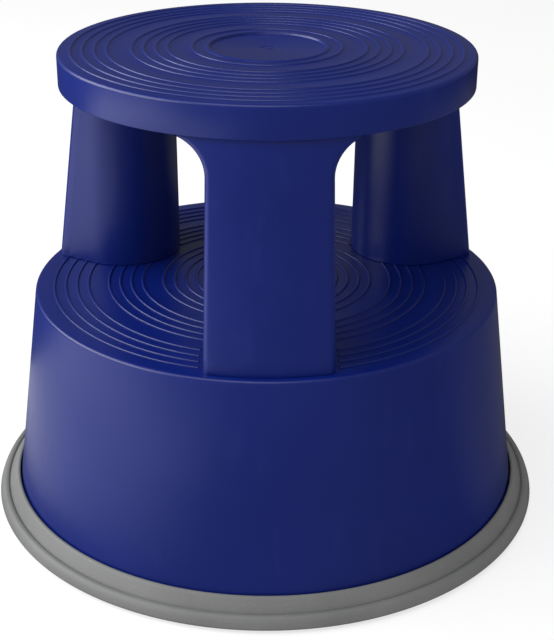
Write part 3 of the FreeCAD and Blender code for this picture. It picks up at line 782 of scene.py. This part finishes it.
for name, turn in CASTOR_TURNS.items():
    node = f"castor_{name}_spring"
    low, high = box_mm(node)
    centre = (low + high) / 2
    rise = high.z - low.z - 2 * WIRE
    turns = rise / COIL_PITCH
    steps = round(turns * COIL_TURN_STEPS)
    bm = bmesh.new()
    start = moved(COIL, 0, low.z + WIRE) @ Matrix.Rotation(math.radians(90), 4, "X")
    wire = bmesh.ops.create_circle(bm, segments=10, radius=WIRE * MM, matrix=start)["verts"]
    bmesh.ops.spin(
        bm,
        geom=wire + list({edge for vert in wire for edge in vert.link_edges}),
        cent=(0, 0, 0),
        axis=(0, 0, 1),
        angle=FULL * turns,
        steps=steps,
        dvec=(0, 0, rise / steps * MM),
    )
    ends = [edge for edge in bm.edges if edge.is_boundary]
    bmesh.ops.edgeloop_fill(bm, edges=ends)
    bmesh.ops.transform(bm, matrix=moved(centre.x, centre.y, 0), verts=bm.verts)
    coil = make_piece(bm, f"castor_{name}_coil", "stool", "spring_steel", [node])
    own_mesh(coil)

# %% [markdown]
# ## Shader tools
#
# A material is easier to read as sums than as wiring. `Term` wraps a socket, so that writing
# `1 - mask * 0.3` adds the Math nodes, and `Finish` makes every other node with one method that
# takes its type, its settings and its inputs. `tinted` brightens a colour in plain Python, because
# numbers that are the same all over a surface need no node.

# %% Sockets as terms, and one method for nodes


class Term:
    """A number that varies over a surface: an output socket with arithmetic."""

    def __init__(self, finish, socket):
        self.finish = finish
        self.socket = socket

    def _math(self, operation, one, two):
        made = self.finish.node("Math", {"operation": operation}, {0: one, 1: two})
        return Term(self.finish, made.outputs[0])

    def __add__(self, other):
        return self._math("ADD", self, other)

    def __mul__(self, other):
        return self._math("MULTIPLY", self, other)

    def __sub__(self, other):
        return self._math("SUBTRACT", self, other)

    def __rsub__(self, other):
        return self._math("SUBTRACT", other, self)

    __radd__ = __add__
    __rmul__ = __mul__


class Finish:
    """One material and its nodes."""

    def __init__(self, name):
        self.material = bpy.data.materials.new(name)
        self.material.use_nodes = True
        self.tree = self.material.node_tree
        self.surface = self.tree.nodes["Principled BSDF"]

    def node(self, kind, settings=None, inputs=None):
        made = self.tree.nodes.new("ShaderNode" + kind)
        for name, value in (settings or {}).items():
            setattr(made, name, value)
        self.connect(made, inputs or {})
        return made

    def connect(self, node, inputs):
        for name, value in inputs.items():
            socket = node.inputs[name]
            if isinstance(value, Term):
                value = value.socket
            if isinstance(value, bpy.types.NodeSocket):
                self.tree.links.new(value, socket)
            else:
                socket.default_value = value

    def set(self, **inputs):
        self.connect(self.surface, {name.replace("_", " "): value for name, value in inputs.items()})

    def place(self, stretch=(1, 1, 1)):
        """Object coordinates in metres, stretched along the axes."""
        where = self.node("TexCoord").outputs["Object"]
        return self.node("Mapping", {}, {"Vector": where, "Scale": stretch}).outputs[0]

    def noise(self, scale, detail=2, stretch=(1, 1, 1), roughness=0.5):
        inputs = {
            "Vector": self.place(stretch),
            "Scale": scale,
            "Detail": detail,
            "Roughness": roughness,
        }
        return Term(self, self.node("TexNoise", {}, inputs).outputs[0])

    def ramp(self, value, low, high):
        """Rescale a term so that low becomes 0 and high becomes 1, held between them."""
        inputs = {"Value": value, "From Min": low, "From Max": high}
        return Term(self, self.node("MapRange", {"clamp": True}, inputs).outputs[0])

    def mix(self, factor, one, two):
        """Blend two colours."""
        made = self.node("Mix", {"data_type": "RGBA"}, {0: factor, 6: one, 7: two})
        return made.outputs["Result"]

    def bump(self, height, strength, distance, under=None):
        inputs = {"Height": height, "Strength": strength, "Distance": distance}
        if under is not None:
            inputs["Normal"] = under
        return self.node("Bump", {}, inputs).outputs[0]


def tinted(colour, gain, lift=0.0):
    """A colour made brighter or darker, with its alpha left at 1."""
    return tuple(part * gain + lift for part in colour[:3]) + (1,)


# %% [markdown]
# ## Blue plastic
#
# The stool is moulded in deep blue plastic with a fine satin texture, which comes from a spark-
# eroded mould. Close to, the skin is a field of tiny pits about a third of a millimetre apart,
# and over a hand's width it has a slow unevenness that bends reflections. The colour hardly
# varies: pigment clouds of a few per cent and a little grey dust where shoes tread. The base colour
# is deeper than the plastic looks, because its gloss adds some grey of the room to it.

# %% Blue plastic
BLUE = (0.0003, 0.0084, 0.126, 1)


def blue_plastic():
    finish = Finish("blue_moulded_plastic")
    clouds = finish.noise(9, 3)
    pits = finish.noise(2600, 2, roughness=0.6)
    swell = finish.noise(26, 2)
    rubs = finish.ramp(finish.noise(60, 6, (1, 1, 0.3), 0.65), 0.56, 0.74)
    body = finish.mix(finish.ramp(clouds, 0.3, 0.7), tinted(BLUE, 0.93), tinted(BLUE, 1.08))
    finish.set(
        Base_Color=finish.mix(rubs * 0.35, body, tinted(BLUE, 1.2, 0.002)),
        Roughness=0.29 + clouds * 0.05 + pits * 0.04 + rubs * 0.05,
    )
    skin = finish.bump(swell, 0.06, 0.004)
    grain = finish.bump(pits, 0.22, 0.00012, skin)
    finish.set(Normal=grain)
    finish.connect(finish.surface, {"Specular IOR Level": 0.5, "IOR": 1.49})
    return finish.material


# %% [markdown]
# ## Grey rubber
#
# The floor ring is grey rubber, dull and slightly mottled. Its skin scatters light, so it is
# rough, with a coarser grain than the plastic and fine pale specks of bloom.

# %% Grey rubber


def grey_rubber():
    finish = Finish("grey_rubber")
    clouds = finish.noise(14, 4)
    grain = finish.noise(1500, 3, roughness=0.65)
    specks = finish.ramp(finish.noise(900, 2), 0.62, 0.75)
    body = finish.mix(finish.ramp(clouds, 0.3, 0.7), (0.13, 0.133, 0.131, 1), (0.158, 0.161, 0.158, 1))
    finish.set(
        Base_Color=finish.mix(specks * 0.4, body, (0.27, 0.272, 0.27, 1)),
        Roughness=0.46 + clouds * 0.12 + grain * 0.08,
        Normal=finish.bump(grain, 0.3, 0.0002),
    )
    return finish.material


# %% [markdown]
# ## Black nylon and tyre rubber
#
# The castors' plungers, retainers and hubs are moulded in black nylon, which is half dull. The
# tyres are black rubber, rougher, with pale floor dust on them. Both are never quite black, so the
# noise moves between two dark greys.

# %% Black nylon and tyre rubber


def black_plastic():
    finish = Finish("black_nylon")
    grain = finish.noise(1800, 2)
    clouds = finish.noise(30, 3)
    body = finish.mix(clouds, (0.012, 0.012, 0.013, 1), (0.022, 0.022, 0.024, 1))
    finish.set(
        Base_Color=body,
        Roughness=0.42 + grain * 0.12,
        Normal=finish.bump(grain, 0.25, 0.0001),
    )
    return finish.material


def black_rubber():
    finish = Finish("black_tyre_rubber")
    grain = finish.noise(1200, 3)
    dust = finish.ramp(finish.noise(120, 4), 0.5, 0.75)
    finish.set(
        Base_Color=finish.mix(dust * 0.5, (0.018, 0.018, 0.018, 1), (0.07, 0.068, 0.064, 1)),
        Roughness=0.6 + grain * 0.2,
        Normal=finish.bump(grain, 0.35, 0.0002),
    )
    return finish.material


# %% [markdown]
# ## Zinc plate and spring wire
#
# Forks, kingpins, washers, axles and screws are bright zinc on steel. Zinc grows in small crystals,
# which a cell pattern gives, and each reflects a little differently. Spring wire is drawn through
# a die, which leaves fine marks. Noise stretched along one axis is enough on so thin a wire.

# %% Zinc plate and spring wire


def zinc_steel():
    finish = Finish("zinc_plated_steel")
    spangle = finish.node("TexVoronoi", {"feature": "F1"}, {"Vector": finish.place(), "Scale": 420})
    patch = Term(finish, spangle.outputs["Distance"])
    clouds = finish.noise(160, 3)
    body = finish.mix(clouds, (0.46, 0.47, 0.47, 1), (0.66, 0.66, 0.63, 1))
    finish.set(
        Base_Color=body,
        Metallic=1.0,
        Roughness=0.26 + patch * 0.12 + clouds * 0.1,
        Normal=finish.bump(patch, 0.08, 0.0001),
    )
    return finish.material


def spring_steel():
    finish = Finish("drawn_spring_steel")
    streaks = finish.noise(700, 3, (1, 1, 0.2))
    finish.set(
        Base_Color=finish.mix(streaks, (0.3, 0.3, 0.3, 1), (0.48, 0.47, 0.46, 1)),
        Metallic=1.0,
        Roughness=0.3 + streaks * 0.15,
    )
    return finish.material


# %% [markdown]
# All finishes are made once and kept by the name of their slot, so that pieces share them.

# %% Make the finishes
FINISHES = {
    "blue_plastic": blue_plastic(),
    "grey_rubber": grey_rubber(),
    "black_plastic": black_plastic(),
    "black_rubber": black_rubber(),
    "zinc_steel": zinc_steel(),
    "spring_steel": spring_steel(),
}
print("finishes", sorted(FINISHES))

# %% [markdown]
# Each new piece names its slot, and each engineering shape that stays has a slot in the record, so
# one loop gives everything its finish.

# %% Give every piece its finish
node_slots = {part["node"]: part["material_slot"] for part in frame["record"]["subparts"]}
for piece in bpy.data.objects:
    slot = piece.get("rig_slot") or node_slots.get(piece.name)
    if piece.type == "MESH" and slot:
        piece.data.materials.clear()
        piece.data.materials.append(FINISHES[slot])
print("nodes with a slot", len(node_slots))

# %% [markdown]
# ## Studio
#
# The stool stands on a plain pale floor, a very large sheet that glows a little, as a lit backdrop
# does. A plain white floor under lamps could be used, but then the floor would be grey round the
# edges. To a glossy ray the sheet looks nearly black: a bright floor in every reflection would turn
# the deep blue grey, and a photographer keeps it out with dark flags.

# %% Lay the floor
FLOOR_HALF = 30
FLOOR_GLOW = 0.69

bm = bmesh.new()
bmesh.ops.create_grid(bm, x_segments=1, y_segments=1, size=FLOOR_HALF)
mesh = bpy.data.meshes.new("floor")
bm.to_mesh(mesh)
bm.free()
floor = bpy.data.objects.new("floor", mesh)
bpy.context.scene.collection.objects.link(floor)
sheet = Finish("lit_white_sheet")
sheet.set(Base_Color=(0.3, 0.3, 0.3, 1), Roughness=0.95, Emission_Color=(1, 1, 1, 1))
sheet.connect(sheet.surface, {"Emission Strength": FLOOR_GLOW, "Specular IOR Level": 0.0})
flag = sheet.node("BsdfDiffuse", {}, {"Color": (0.03, 0.03, 0.03, 1)})
glossy = sheet.node("LightPath").outputs["Is Glossy Ray"]
choice = sheet.node("MixShader", {}, {0: glossy, 1: sheet.surface.outputs[0], 2: flag.outputs[0]})
sheet.connect(sheet.tree.nodes["Material Output"], {"Surface": choice.outputs[0]})
sheet.material.cycles.emission_sampling = "NONE"
floor.data.materials.append(sheet.material)
print("floor", 2 * FLOOR_HALF, "m across")

# %% [markdown]
# A broad soft light on the left gives the long sheen on every left flank, and a weaker one
# overhead lifts the treads. Low lights that lie on the floor and face up stand for the bright
# floor that the sheet hides from glossy rays: two on the left, near and far, and a faint one on
# the right. None of the lights is seen by the camera.

# %% Place the lights


def soft_light(name, place, aim, size, power):
    data = bpy.data.lights.new(name, "AREA")
    data.shape = "RECTANGLE"
    data.size, data.size_y = size
    data.energy = power
    light = bpy.data.objects.new(name, data)
    light.location = place
    toward = Vector(aim) - Vector(place)
    light.rotation_euler = toward.to_track_quat("-Z", "Y").to_euler()
    light.visible_camera = False
    bpy.context.scene.collection.objects.link(light)


soft_light("left_softbox", (-1.58, -0.1, 1.05), (0, 0, 0.2), (2.4, 1.1), 42)
soft_light("near_floor_card", (-0.5, -0.35, 0.004), (-0.5, -0.35, 1), (0.5, 1.1), 1.4)
soft_light("far_floor_card", (-1.35, -0.35, 0.004), (-1.35, -0.35, 1), (1.2, 1.1), 7)
soft_light("right_floor_card", (0.72, 0.4, 0.004), (0.72, 0.4, 1), (0.96, 1.0), 0.35)
soft_light("overhead_softbox", (-0.35, -0.85, 2.0), (0, 0, 0.3), (1.4, 1.0), 12)

# %% [markdown]
# The surroundings have three strengths: white to the camera, pale to the light that falls on
# surfaces, and dim to reflections. They are left out of light sampling, as the floor is, because
# sampled surroundings would put their full brightness into the gloss as well.

# %% Surroundings
world = bpy.data.worlds.new("studio")
world.use_nodes = True
tree = world.node_tree
room = tree.nodes["Background"]
room.inputs["Strength"].default_value = 0.64
dim = tree.nodes.new("ShaderNodeBackground")
dim.inputs["Strength"].default_value = 0.15
white = tree.nodes.new("ShaderNodeBackground")
path = tree.nodes.new("ShaderNodeLightPath")
rays = tree.nodes.new("ShaderNodeMixShader")
views = tree.nodes.new("ShaderNodeMixShader")
for background in (room, dim, white):
    background.inputs["Color"].default_value = (1, 1, 1, 1)
tree.links.new(path.outputs["Is Glossy Ray"], rays.inputs[0])
tree.links.new(room.outputs[0], rays.inputs[1])
tree.links.new(dim.outputs[0], rays.inputs[2])
tree.links.new(path.outputs["Is Camera Ray"], views.inputs[0])
tree.links.new(rays.outputs[0], views.inputs[1])
tree.links.new(white.outputs[0], views.inputs[2])
tree.links.new(views.outputs[0], tree.nodes["World Output"].inputs[0])
world.cycles.sampling_method = "NONE"
bpy.context.scene.world = world
bpy.context.scene.view_settings.view_transform = "Standard"
bpy.context.scene.view_settings.look = "None"
print("surroundings", room.inputs["Strength"].default_value, dim.inputs["Strength"].default_value)

# %% [markdown]
# ## Camera
#
# The camera stands about a metre in front of the stool and a little over half a metre up, looking
# down at it by 25 degrees, through a long lens. It aims slightly to the right of the stool's
# axis and leans by half a degree.

# %% Camera
camera_data = bpy.data.cameras.new("camera")
camera_data.sensor_fit = "AUTO"
camera_data.sensor_width = 36
camera_data.lens = 76.9
camera = bpy.data.objects.new("camera", camera_data)
bpy.context.scene.collection.objects.link(camera)
eye = Vector((-0.0126, -0.9904, 0.6026))
aim = Vector((0.00847, 0, 0.1403))
lean = Matrix.Rotation(math.radians(0.45), 4, "Z")
look = (aim - eye).to_track_quat("-Z", "Y").to_matrix().to_4x4()
camera.matrix_world = Matrix.Translation(eye) @ look @ lean
bpy.context.scene.camera = camera
print("camera", round((aim - eye).length, 3), "m from its aim")
